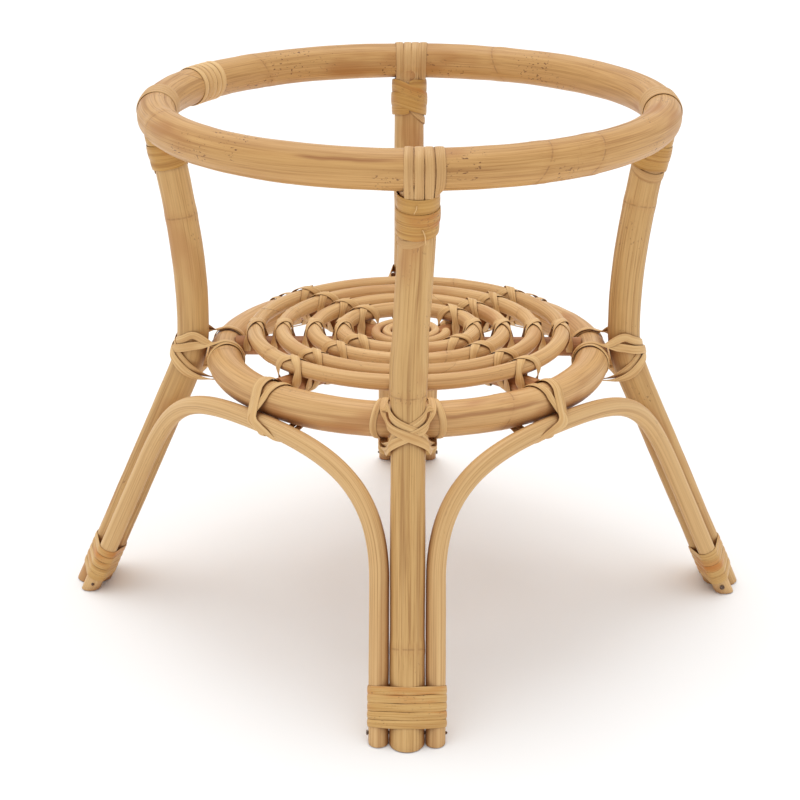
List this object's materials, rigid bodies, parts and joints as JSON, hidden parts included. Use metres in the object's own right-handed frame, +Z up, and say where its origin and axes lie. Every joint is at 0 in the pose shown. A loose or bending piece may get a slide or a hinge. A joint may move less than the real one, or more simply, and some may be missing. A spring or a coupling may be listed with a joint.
{
  "type": "plant stand",
  "caption": "Round rattan pot stand: a thick top ring on splayed, waisted legs with arched braces and a low shelf of concentric cane rings, all lashed with split cane.",
  "frame": {"origin": "on the floor, under the centre of the rings", "axes": "+Z up, the front of the stand faces -Y, and its legs stand on the X and Y axes"},
  "size_m": [0.4004, 0.4004, 0.3019],
  "materials": {
    "rattan_pole": "satin, clear-coated rattan with its skin on",
    "rattan_brace": "satin, thin rattan pole",
    "rattan_spoke": "dull, reddish-brown rattan",
    "shelf_cane": "satin round cane",
    "cane_strip": "pale split cane, satin skin side out",
    "cane_band": "golden split cane, satin",
    "nail_steel": "dull, darkened steel"
  },
  "bodies": {
    "root": {"top_ring": "rattan_pole", "lower_ring": "rattan_pole", "shelf_ring_1": "shelf_cane", "shelf_ring_2": "shelf_cane", "shelf_ring_3": "shelf_cane", "shelf_ring_4": "shelf_cane", "shelf_spiral": "shelf_cane", "spoke_cross_1": "rattan_spoke", "spoke_cross_2": "rattan_spoke", "top_joint_wrap": "cane_strip", "leg_right": "rattan_pole", "leg_back": "rattan_pole", "leg_left": "rattan_pole", "leg_front": "rattan_pole", "brace_back_right": "rattan_brace", "brace_back_left": "rattan_brace", "brace_front_left": "rattan_brace", "brace_front_right": "rattan_brace", "leg_nail_right": "nail_steel", "leg_nail_back": "nail_steel", "leg_nail_left": "nail_steel", "leg_nail_front": "nail_steel", "foot_nail_right": "nail_steel", "foot_nail_back": "nail_steel", "foot_nail_left": "nail_steel", "foot_nail_front": "nail_steel", "foot_band_right": "cane_strip", "foot_band_back": "cane_strip", "foot_band_left": "cane_strip", "foot_band_front": "cane_strip", "top_band_right": "cane_band", "top_band_back": "cane_band", "top_band_left": "cane_band", "top_band_front": "cane_band", "top_strap_right": "cane_strip", "top_strap_back": "cane_strip", "top_strap_left": "cane_strip", "top_strap_front": "cane_strip", "waist_lashing_right": "cane_strip", "waist_lashing_back": "cane_strip", "waist_lashing_left": "cane_strip", "waist_lashing_front": "cane_strip", "brace_lashing_back_right": "cane_strip", "brace_lashing_back_left": "cane_strip", "brace_lashing_front_left": "cane_strip", "brace_lashing_front_right": "cane_strip", "spoke_back_right": "rattan_spoke", "spoke_back_left": "rattan_spoke", "spoke_front_left": "rattan_spoke", "spoke_front_right": "rattan_spoke", "spoke_tie_right": "cane_strip", "spoke_tie_back": "cane_strip", "spoke_tie_left": "cane_strip", "spoke_tie_front": "cane_strip", "spoke_tie_back_right": "cane_strip", "spoke_tie_back_left": "cane_strip", "spoke_tie_front_left": "cane_strip", "spoke_tie_front_right": "cane_strip"}
  },
  "joints": []
}
